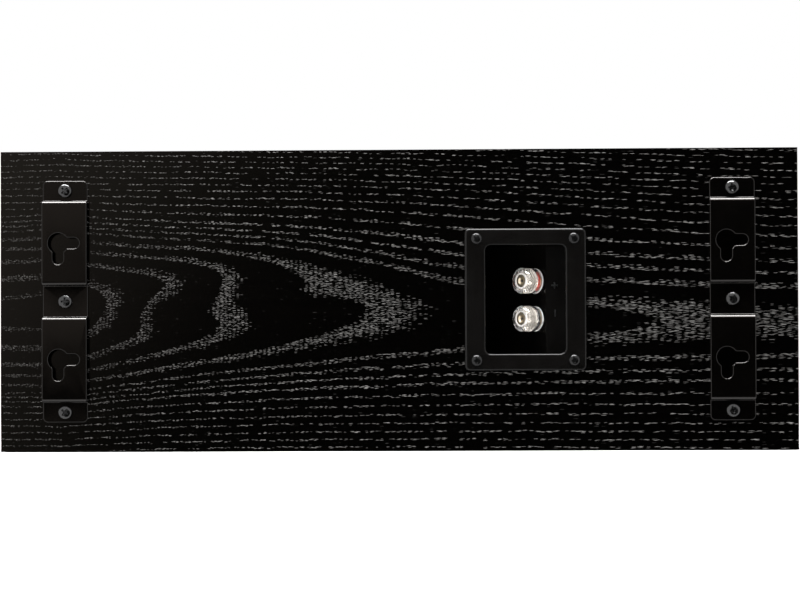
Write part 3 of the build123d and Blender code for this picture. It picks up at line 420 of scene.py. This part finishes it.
# %% Finishes of the parts inside
baffle_paint = even("baffle_paint", grey(0.010), 0.5, 0.6, 0.02)
absorbent_felt = even("absorbent_felt", grey(0.16, 0.06), 0.95, 0.7, 0.4, 0.0, 0.35)
gasket_foam = even("gasket_foam", grey(0.015), 0.9, 0.35, 0.08)
basket_paint = even("basket_paint", grey(0.014), 0.42, 0.5, 0.012)
surround_rubber = even("surround_rubber", grey(0.012), 0.58, 0.5, 0.01)
cone_paper = even("cone_paper", grey(0.018, 0.04), 0.72, 0.55, 0.05, 0.0, 0.35)
spider_cloth = even("spider_cloth", (0.5, 0.32, 0.1, 1), 0.85, 0.5, 0.08)
ferrite = even("ferrite", grey(0.035), 0.6, 0.9, 0.03)
faceplate_plastic = even("faceplate_plastic", grey(0.012), 0.5, 0.45, 0.03)
dome_silk = even("dome_silk", grey(0.02, 0.05), 0.45, 0.25, 0.012)
board_laminate = even("board_laminate", (0.02, 0.11, 0.045, 1), 0.4, 0.8, 0.01)
spacer_nylon = even("spacer_nylon", grey(0.7, 0.04), 0.45, 0.6, 0.01)
capacitor_film = even("capacitor_film", (0.55, 0.36, 0.03, 1), 0.3, 0.8, 0.008)
resistor_cement = even("resistor_cement", grey(0.62, 0.02), 0.9, 0.5, 0.06)
lead_insulation = even("lead_insulation", (0.28, 0.012, 0.012, 1), 0.45, 0.6, 0.006)
grille_board = even("grille_board", grey(0.02, 0.1), 0.7, 0.7, 0.04)
peg_plastic = even("peg_plastic", grey(0.02), 0.4, 0.5, 0.01)
socket_rubber = even("socket_rubber", grey(0.014), 0.7, 0.5, 0.02)

# %% [markdown]
# Chokes and voice coils are wound from enamelled copper wire, turn beside turn, so their finish has fine
# ribs along the axis of the winding, which is the Y axis here.

# %% Wound copper
WIRE_PITCH = 0.9
coil_copper = Finish("coil_copper")
turns = (coil_copper.place()[1] * (2 * math.pi / WIRE_PITCH)).apply("SINE") * 0.5 + 0.5
coil_copper.look({
    "Base Color": coil_copper.mix(turns, (0.28, 0.08, 0.025, 1), (0.72, 0.3, 0.11, 1)),
    "Roughness": 0.42 - 0.12 * turns,
    "Metallic": 0.9,
    "Normal": coil_copper.bump(turns, 0.2),
})

# %% Dress the nodes that keep their CAD shape
dress(cup_plastic, "terminal_cup")
dress(gold_plate, "red_post_stud", "black_post_stud")
dress(red_plastic, "red_post_ring")
dress(black_plastic, "black_post_ring")
dress(zinc_steel, "post_nuts", "crossover_screws")
dress(zinc_steel, "woofer_top_plates", "woofer_yokes", "tweeter_top_plate", "tweeter_yoke")
dress(tinned_brass, "post_solder_tags")
dress(baffle_paint, "front_baffle")
dress(absorbent_felt, "absorbent_pads")
dress(gasket_foam, "terminal_gasket", "woofer_gaskets")
dress(ferrite, "woofer_magnets", "tweeter_magnet")
dress(faceplate_plastic, "tweeter_faceplate")
dress(dome_silk, "tweeter_dome")
dress(coil_copper, "tweeter_voice_coil", "woofer_choke", "tweeter_choke")
dress(board_laminate, "crossover_board")
dress(spacer_nylon, "crossover_spacers")
dress(capacitor_film, "capacitors")
dress(resistor_cement, "resistor")
dress(lead_insulation, "wiring_loom")
dress(grille_board, "grille_frame")
dress(peg_plastic, "grille_pegs")
dress(socket_rubber, "grille_sockets")
for side in ("left", "right"):
    dress(basket_paint, side + "_woofer_basket")
    dress(cone_paper, side + "_woofer_cone", side + "_woofer_dust_cap")
    dress(coil_copper, side + "_woofer_voice_coil")

# %% [markdown]
# ## From bmesh to a piece
# New shapes are built in a bmesh, and this step turns one into an object that rides on a body of the
# model, takes its finish as its material, and is smooth except across its sharp edges.


# %% Make a piece
def piece(name, bm, body, finish, crease=35.0):
    """Object from a bmesh, on a body, in a finish."""
    bmesh.ops.remove_doubles(bm, verts=bm.verts, dist=1e-7)
    bmesh.ops.recalc_face_normals(bm, faces=bm.faces)
    mesh = bpy.data.meshes.new(name)
    bm.to_mesh(mesh)
    bm.free()
    mesh.shade_smooth()
    mesh.set_sharp_from_angle(angle=math.radians(crease))
    mesh.materials.append(finish.material)
    made = bpy.data.objects.new(name, mesh)
    bpy.context.collection.objects.link(made)
    if body:
        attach(made, body)
    print(name, len(mesh.polygons), "faces")
    return made


# %% [markdown]
# ## Hanging brackets
# Each bracket is a strip of steel, punched and folded, then painted. The CAD solid has sharp punched
# edges. On the real one the punch and the paint round them a little, and in the photograph those edges
# are thin bright lines. A merged copy of the solid with a Bevel modifier does the same. Its hardened
# normals keep the flats flat.


# %% Eased copy of a CAD solid
def copied(node):
    """Merged copy of a node's mesh, its flat faces joined up."""
    bm = bmesh.new()
    bm.from_mesh(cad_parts[node].data)
    bmesh.ops.remove_doubles(bm, verts=bm.verts, dist=1e-6)
    bmesh.ops.dissolve_limit(bm, angle_limit=math.radians(0.5), verts=bm.verts, edges=bm.edges)
    return bm


def ease(made, width, sharp=35.0):
    """Round a piece's sharp edges, width in millimetres."""
    bevel = made.modifiers.new("ease", "BEVEL")
    bevel.width = width * MM
    bevel.segments = 2
    bevel.limit_method = "ANGLE"
    bevel.angle_limit = math.radians(sharp)
    bevel.harden_normals = True
    bevel.use_clamp_overlap = False


for side in ("left", "right"):
    plate = copied(side + "_bracket")
    bracket = piece(side + "_bracket_plate", plate, "cabinet", bracket_paint, 30)
    ease(bracket, 0.45)
    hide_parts(side + "_bracket")

# %% [markdown]
# ## Screws with a cross recess
# A pan-head screw is a turned shape, so its outline is spun round the axis. The recess is cut with a
# cross-shaped tool, just as the real head is struck by one. The CAD node says where each screw is and how
# large.


# %% Spin an outline
def turned(outline, steps=40):
    """Solid of revolution about Z from (radius, height) pairs in millimetres."""
    bm = bmesh.new()
    chain = [bm.verts.new((radius * MM, 0, height * MM)) for radius, height in outline]
    edges = [bm.edges.new(pair) for pair in zip(chain, chain[1:])]
    bmesh.ops.spin(
        bm, geom=chain + edges, cent=(0, 0, 0), axis=(0, 0, 1),
        angle=2 * math.pi, steps=steps, use_merge=True,
    )
    bmesh.ops.remove_doubles(bm, verts=bm.verts, dist=1e-7)
    bmesh.ops.recalc_face_normals(bm, faces=bm.faces)
    return bm


def loose(name, bm):
    """Object that only serves to build another."""
    mesh = bpy.data.meshes.new(name)
    bm.to_mesh(mesh)
    bm.free()
    made = bpy.data.objects.new(name, mesh)
    bpy.context.collection.objects.link(made)
    return made


# %% The cutter and one screw
def cross_cutter(reach, depth, width):
    """Cross that narrows downwards, with its middle at height 0."""
    bm = bmesh.new()
    for turn in (0, 90):
        size = Matrix.Diagonal((2 * reach * MM, width * MM, 2 * depth * MM, 1))
        turned_by = Matrix.Rotation(math.radians(turn), 4, "Z")
        made = bmesh.ops.create_cube(bm, size=1.0, matrix=turned_by @ size)
        for vert in made["verts"]:
            if vert.co.z < 0:
                vert.co.xy *= 0.45
    return loose("cross_cutter", bm)


def screw_mesh(head, height, shank, length):
    """Pan-head screw with its head's underside at height 0 and its point below."""
    radius = head / 2
    shares = (0, 0.2, 0.4, 0.55, 0.7, 0.8, 0.9)
    dome = [(radius * share, height * (1 - 0.35 * share ** 4)) for share in shares]
    rounding = ((0.97, 0.58), (1.0, 0.38), (1.0, 0.12), (0.94, 0.0))
    rim = [(out * radius, up * height) for out, up in rounding]
    bm = turned(dome + rim + [(shank / 2, 0.0), (shank / 2, -length), (0, -length)])
    blank = loose("screw_blank", bm)
    cutter = cross_cutter(0.4 * head, 0.55 * height, 0.19 * head)
    cutter.data.transform(Matrix.Translation((0, 0, height * MM)))
    cut = blank.modifiers.new("recess", "BOOLEAN")
    cut.object = cutter
    cut.solver = "EXACT"
    cut.use_self = True
    bpy.context.view_layer.update()
    mesh = bpy.data.meshes.new_from_object(blank.evaluated_get(bpy.context.evaluated_depsgraph_get()))
    bpy.data.objects.remove(blank)
    bpy.data.objects.remove(cutter)
    return mesh


# %% Where the CAD screws are
def solids_of(node):
    """Lowest and highest corner, in metres, of each separate solid in a node."""
    bm = bmesh.new()
    bm.from_mesh(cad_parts[node].data)
    bmesh.ops.remove_doubles(bm, verts=bm.verts, dist=1e-6)
    boxes = []
    waiting = set(bm.verts)
    while waiting:
        island = []
        queue = [waiting.pop()]
        while queue:
            vert = queue.pop()
            island.append(vert.co.copy())
            near = {edge.other_vert(vert) for edge in vert.link_edges} & waiting
            waiting -= near
            queue.extend(near)
        boxes.append([Vector(pick(axis) for axis in zip(*island)) for pick in (min, max)])
    bm.free()
    return sorted(boxes, key=lambda box: (round(box[0].x, 4), round(box[0].z, 4)))


# %% Set a screw on every place
SHANK_SHARE = 0.42
FIRST_TURN = 17
NEXT_TURN = 41


def set_screws(node, outward, head_height, finish):
    """Detailed screws in place of a CAD node of screws, their heads facing along outward, +Y or -Y."""
    bm = bmesh.new()
    for number, (low, high) in enumerate(solids_of(node)):
        head = (high.x - low.x) / MM
        length = (high.y - low.y) / MM - head_height
        mesh = screw_mesh(head, head_height, head * SHANK_SHARE, length)
        centre = (low + high) / 2
        centre.y = (high.y - head_height * MM) if outward > 0 else (low.y + head_height * MM)
        place = Matrix.Translation(centre) @ Matrix.Rotation(math.radians(-90 * outward), 4, "X")
        mesh.transform(place @ Matrix.Rotation(math.radians(FIRST_TURN + NEXT_TURN * number), 4, "Z"))
        bm.from_mesh(mesh)
        bpy.data.meshes.remove(mesh)
    made = piece(node + "_cross", bm, "cabinet", finish, 40)
    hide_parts(node)


set_screws("bracket_screws", 1, 2.56, black_screw)
set_screws("terminal_screws", 1, 2.0, dull_screw)
set_screws("woofer_screws", -1, 2.2, black_screw)
set_screws("tweeter_screws", -1, 2.2, black_screw)

# %% [markdown]
# ## Binding posts
# A post stands on the slanted floor of the cup. Its clear cap is pressed on a knurled metal insert, which
# is what fingers grip by. A knurl is cut by two crossing sets of grooves, so it is a grid of tiny
# pyramids: a tube with many rows, in which every second point is pushed in. Each of those points is
# marked in a vertex attribute, and the finish darkens there with painted shade and grime. A smooth
# washer closes the front.

# %% The posts' axis, as in the CAD model
POST_AXIS = Vector((0.71934, 0.69466, 0.0))
POST_FEET = {"red": Vector((-69.411, 49.1445, 85.0)), "black": Vector((-69.411, 49.1445, 66.0))}


def post_frame(colour):
    """Matrix from a post's own frame, Z along its axis from the cup's floor, to the model's."""
    turn = POST_AXIS.to_track_quat("Z", "Y").to_matrix().to_4x4()
    return Matrix.Translation(POST_FEET[colour] * MM) @ turn


def on_post(colour, bm):
    """Move a shape from a post's own frame to its place."""
    bmesh.ops.transform(bm, matrix=post_frame(colour), verts=bm.verts)
    return bm


# %% Knurled inserts
WASHER = [(3.3, 10.84), (4.2, 10.84), (4.2, 10.94), (4.1, 11.0), (3.4, 11.0), (3.3, 10.94), (3.3, 10.84)]


def knurled(low, high, bore, radius, teeth, rows, groove):
    """Tube about Z with a diamond knurl between two plain rims, sizes in millimetres."""
    rim = 0.6
    bevel = 0.35
    step = (high - low - 2 * rim) / rows
    side = [(radius, low + rim + step * row) for row in range(rows + 1)]
    ends = [(radius - bevel, high), (bore, high), (bore, low), (radius - bevel, low)]
    bm = turned(side + ends + side[:1], 2 * teeth)
    # The pushed-in points get the painted groove shade and grime.
    marked = bm.verts.layers.float.new("groove")
    for vert in bm.verts:
        flat = vert.co.xy.length / MM
        row = round((vert.co.z / MM - low - rim) / step)
        turn = round(math.atan2(vert.co.y, vert.co.x) / math.pi * teeth)
        if flat > radius - 0.01 and (row + turn) % 2 and 0 < row < rows:
            vert.co.xy *= 1 - groove / radius
            vert[marked] = 1.0
    bmesh.ops.triangulate(bm, faces=bm.faces, quad_method="SHORT_EDGE")
    return bm


for colour in ("red", "black"):
    insert = knurled(low=4.14, high=10.85, bore=3.15, radius=4.5, teeth=24, rows=9, groove=0.42)
    on_post(colour, insert)
    made = piece(colour + "_post_knurl", insert, colour + "_cap", knurled_nickel, 12)
    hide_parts(colour + "_post_insert")
    washer = on_post(colour, turned(WASHER, 48))
    piece(colour + "_post_washer", washer, colour + "_cap", bright_nickel)

# %% [markdown]
# The clear cap is moulded straight on to the knurl, with no air between them. That matters for the
# picture: with a gap, the cap's inner wall would mirror the dark cup. So the cap's bore runs just inside
# the metal, and widens only round the coloured ring, which turns free of it.

# %% Clear caps
OUTSIDE = [(6.15, 1.0), (6.45, 1.3), (6.45, 10.3), (6.3, 10.62), (5.5, 11.32), (5.2, 11.4), (4.75, 11.4)]
BORE = [(4.52, 10.75), (3.7, 10.4), (3.7, 4.3), (4.7, 4.08), (4.7, 2.25), (4.85, 1.0)]
FOOT = [(4.95, 1.06), (6.1, 1.06), (6.38, 1.32), (6.38, 1.5), (4.95, 1.5), (4.95, 1.06)]
for colour in ("red", "black"):
    cap = on_post(colour, turned(OUTSIDE + BORE + OUTSIDE[:1], 64))
    made = piece(colour + "_post_cap", cap, colour + "_cap", clear_plastic, 25)
    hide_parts(colour + "_post_shell")
    # The foot ring carries the painted highlight.
    foot = on_post(colour, turned(FOOT, 64))
    piece(colour + "_post_foot", foot, colour + "_cap", painted_foot_highlight)

# %% [markdown]
# The stud's end is a socket for a plug. It has a funnel that guides the plug in. A black disc deep in the
# bore is painted shade for the dark hole behind it.

# %% Sockets
FUNNEL = [(1.98, 10.8), (1.0, 10.2), (1.0, 8.6), (1.98, 8.6), (1.98, 10.8)]
# Outline of the black disc of painted shade in the bore.
SHADE_DISC = [(0, 9.6), (0.98, 9.6), (0.98, 8.7), (0, 8.7)]
for colour in ("red", "black"):
    funnel = on_post(colour, turned(FUNNEL))
    piece(colour + "_socket_funnel", funnel, "cabinet", gold_plate)
    # Painted shade: a black disc set in the bore.
    shade_disc = on_post(colour, turned(SHADE_DISC))
    piece(colour + "_socket_shade", shade_disc, "cabinet", black_plastic)

# %% [markdown]
# ## Signs beside the posts
# A plus and a minus are moulded on the cup's shelf, turned so that they read upright when the speaker
# stands on its end. They are low raised bars with soft edges.

# %% Raised signs
SHELF = 54.0
BAR_THICKNESS = 0.28
BAR_EDGE = 0.08
BARS = ((-78.5, 82.7, 3.2, 0.7, 0.12), (-78.5, 82.7, 0.7, 3.2, 0.10), (-78.8, 68.8, 0.7, 3.4, 0.12))
signs = bmesh.new()
for x, z, wide, tall, rise in BARS:
    place = Matrix.Translation((x * MM, (SHELF + rise) * MM, z * MM))
    size = Matrix.Diagonal((wide * MM, BAR_THICKNESS * MM, tall * MM, 1))
    bar = bmesh.ops.create_cube(signs, size=1.0, matrix=place @ size)
    edges = list({edge for vert in bar["verts"] for edge in vert.link_edges})
    bmesh.ops.bevel(
        signs, geom=edges, offset=BAR_EDGE * MM, segments=2, profile=0.5,
        affect="EDGES", clamp_overlap=True, material=-1,
    )
sign_plastic = even("sign_plastic", grey(0.002), 0.3, 0.4, 0.01, extra={"Specular IOR Level": 0.25})
piece("terminal_signs", signs, "cabinet", sign_plastic)

# %% [markdown]
# ## Rubber surrounds
# A woofer's cone hangs on a half roll of rubber. Its outer foot is glued to the frame and its inner foot
# to the cone, so when the cone moves only the inner skirt gives.


# %% Surrounds copied from the CAD nodes
LEDGE = -57.4
WOOFERS = (("left", -120), ("right", 120))
for side, x in WOOFERS:
    bm = bmesh.new()
    bm.from_mesh(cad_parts[side + "_woofer_surround"].data)
    roll = piece(side + "_surround_roll", bm, None, surround_rubber)
    start = (x * MM, LEDGE * MM, 75.5 * MM)
    x * MM
    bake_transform(roll)
    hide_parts(side + "_woofer_surround")

# %% [markdown]
# ## Spiders
# The spider is the corrugated cloth disc that centres the voice coil. Its rim is glued to the frame, and
# its middle moves with the coil. Neighbours agree along their common cut, so the disc stays whole.


# %% Spider sectors cut from the CAD discs
SPIDER_SECTORS = 8
SPIDER_PLANE = -37


def sector(node, centre, number):
    """One sector of a disc that lies across Y, cut from a merged copy of a node."""
    bm = copied(node)
    for edge, side in ((number, 1), (number + 1, -1)):
        angle = 2 * math.pi * edge / SPIDER_SECTORS
        across = Vector((-math.sin(angle), 0, math.cos(angle))) * side
        geom = bm.verts[:] + bm.edges[:] + bm.faces[:]
        bmesh.ops.bisect_plane(bm, geom=geom, plane_co=centre, plane_no=across, clear_inner=True)
    bmesh.ops.holes_fill(bm, edges=[edge for edge in bm.edges if edge.is_boundary])
    return bm


for side, x in WOOFERS:
    centre = Vector((x, SPIDER_PLANE, MIDDLE_HEIGHT)) * MM
    for number in range(SPIDER_SECTORS):
        bm = sector(side + "_woofer_spider", centre, number)
        slice_of = piece(f"{side}_spider_{number}", bm, None, spider_cloth)
        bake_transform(slice_of)
        if number == 0:
            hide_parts(side + "_woofer_spider")

# %% [markdown]
# ## Grille cloth
# The grille is a board with three windows, and acoustically open cloth stretched over it and glued
# behind. The cloth is a copy of the CAD sheet with its turns softened, in a fine plain weave.

# %% Woven cloth
THREAD = 0.85
cloth = Finish("grille_cloth")
x, y, z = cloth.place()
wobble = cloth.noise(cloth.vector(x / 6, y / 6, z / 6), 2.0) - 0.5
warp = ((x + y * 0.5 + wobble * 0.5) * (2 * math.pi / THREAD)).apply("SINE")
weft = ((z + y * 0.5 + wobble * 0.5) * (2 * math.pi / THREAD)).apply("SINE")
weave = (warp * weft) * 0.5 + 0.5
slub = cloth.noise(cloth.vector(x / 9, y / 2, z / 0.9), 3.0)
cloth.look({
    "Base Color": cloth.mix(weave * (0.55 + 0.45 * slub), grey(0.002), grey(0.018, 0.03)),
    "Roughness": 0.92,
    "Specular IOR Level": 0.12,
    "Sheen Weight": 0.05,
    "Sheen Roughness": 0.4,
    "Normal": cloth.bump(weave, 0.22),
})
sheet = piece("grille_fabric", copied("grille_cloth"), "grille", cloth, 40)
ease(sheet, 0.28, 40.0)
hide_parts("grille_cloth")

# %% [markdown]
# ## Floor, light and camera
# The photograph is a cut-out on white, lit softly from all round. The floor is a wide pale plane, and one
# large soft box hangs overhead. All else is a white tent with a dark gap in it. The lacquered panel shows
# what it mirrors, and it is black in the photograph because it mirrors a dark place behind the camera.
# The gap is set to one side, so that the left end of the picture mirrors a little of the white, which is
# its sheen.


# %% Floor
FLOOR_DROP = 0.3


def wide_floor(size):
    """Plain pale floor, a hair under the model's foot so that the two never share a plane."""
    bm = bmesh.new()
    drop = Matrix.Translation((0, 0, -FLOOR_DROP * MM))
    bmesh.ops.create_grid(bm, x_segments=1, y_segments=1, size=size, matrix=drop)
    floor = loose("floor", bm)
    paper = Finish("floor_paper")
    x, y = paper.place()[:2]
    cloudy = paper.noise(paper.vector(x / 300, y / 300), 2.0)
    paper.look({"Base Color": paper.mix(cloudy, grey(0.86), grey(0.9)), "Roughness": 0.8})
    floor.data.materials.append(paper.material)
    floor.visible_glossy = False


wide_floor(6.0)


# %% Lights
def soft_box(name, place, aim, wide, tall, power):
    """Rectangular area light."""
    lamp = bpy.data.lights.new(name, "AREA")
    lamp.shape = "RECTANGLE"
    lamp.size = wide
    lamp.size_y = tall
    lamp.energy = power
    box = bpy.data.objects.new(name, lamp)
    bpy.context.collection.objects.link(box)
    box.location = place
    box.rotation_euler = (Vector(aim) - Vector(place)).to_track_quat("-Z", "Y").to_euler()


soft_box("overhead", place=(0.15, 0.45, 1.3), aim=(0, 0.05, 0.1), wide=1.5, tall=0.6, power=90)


# %% A white tent with a dark gap
GAP_GLOW = 0.01


def tent(gap_towards, dark_within, bright_from, white):
    """White all round, also for the camera itself, with a dark gap for the black panel to mirror."""
    world = bpy.data.worlds.new("tent")
    bpy.context.scene.world = world
    world.use_nodes = True
    nodes = world.node_tree.nodes
    links = world.node_tree.links
    direction = nodes.new("ShaderNodeTexCoord").outputs["Generated"]
    facing = nodes.new("ShaderNodeVectorMath")
    facing.operation = "DOT_PRODUCT"
    facing.inputs[1].default_value = Vector(gap_towards).normalized()
    links.new(direction, facing.inputs[0])
    edge = nodes.new("ShaderNodeMapRange")
    edge.interpolation_type = "SMOOTHSTEP"
    edge.inputs["From Min"].default_value = math.cos(math.radians(bright_from))
    edge.inputs["From Max"].default_value = math.cos(math.radians(dark_within))
    edge.inputs["To Min"].default_value = white
    edge.inputs["To Max"].default_value = GAP_GLOW
    links.new(facing.outputs["Value"], edge.inputs["Value"])
    paper = nodes.new("ShaderNodeMix")
    paper.inputs["B"].default_value = 1.0
    links.new(nodes.new("ShaderNodeLightPath").outputs["Is Camera Ray"], paper.inputs["Factor"])
    links.new(edge.outputs["Result"], paper.inputs["A"])
    links.new(paper.outputs["Result"], nodes["Background"].inputs["Strength"])
    nodes["Background"].inputs["Color"].default_value = grey(1.0)


tent(gap_towards=(-0.231, 1.0, -0.22), dark_within=22.2, bright_from=26.8, white=1.2)
bpy.context.scene.view_settings.view_transform = "Standard"

# %% [markdown]
# The camera's place was worked out from the photograph: the four corners of the back, the screws and the
# cup's edges fit a camera 1.8 m behind the speaker, a little low and to the right of its middle.

# %% Camera
CAMERA_PLACE = (-0.067, 1.860, 0.0292)
CAMERA_TILT = (1.466, 2.104, -0.215)
camera = bpy.data.cameras.new("camera")
camera.sensor_width = 36.0
camera.lens = 161.78
viewer = bpy.data.objects.new("camera", camera)
bpy.context.collection.objects.link(viewer)
tilt_x, tilt_y, tilt_z = (math.radians(angle) for angle in CAMERA_TILT)
turn = Matrix.Rotation(tilt_z, 3, "Z") @ Matrix.Rotation(tilt_y, 3, "Y") @ Matrix.Rotation(tilt_x, 3, "X")
from_rear = Matrix(((-1, 0, 0), (0, 0, 1), (0, 1, 0)))
viewer.matrix_world = Matrix.Translation(CAMERA_PLACE) @ (from_rear @ turn).to_4x4()
bpy.context.scene.camera = viewer
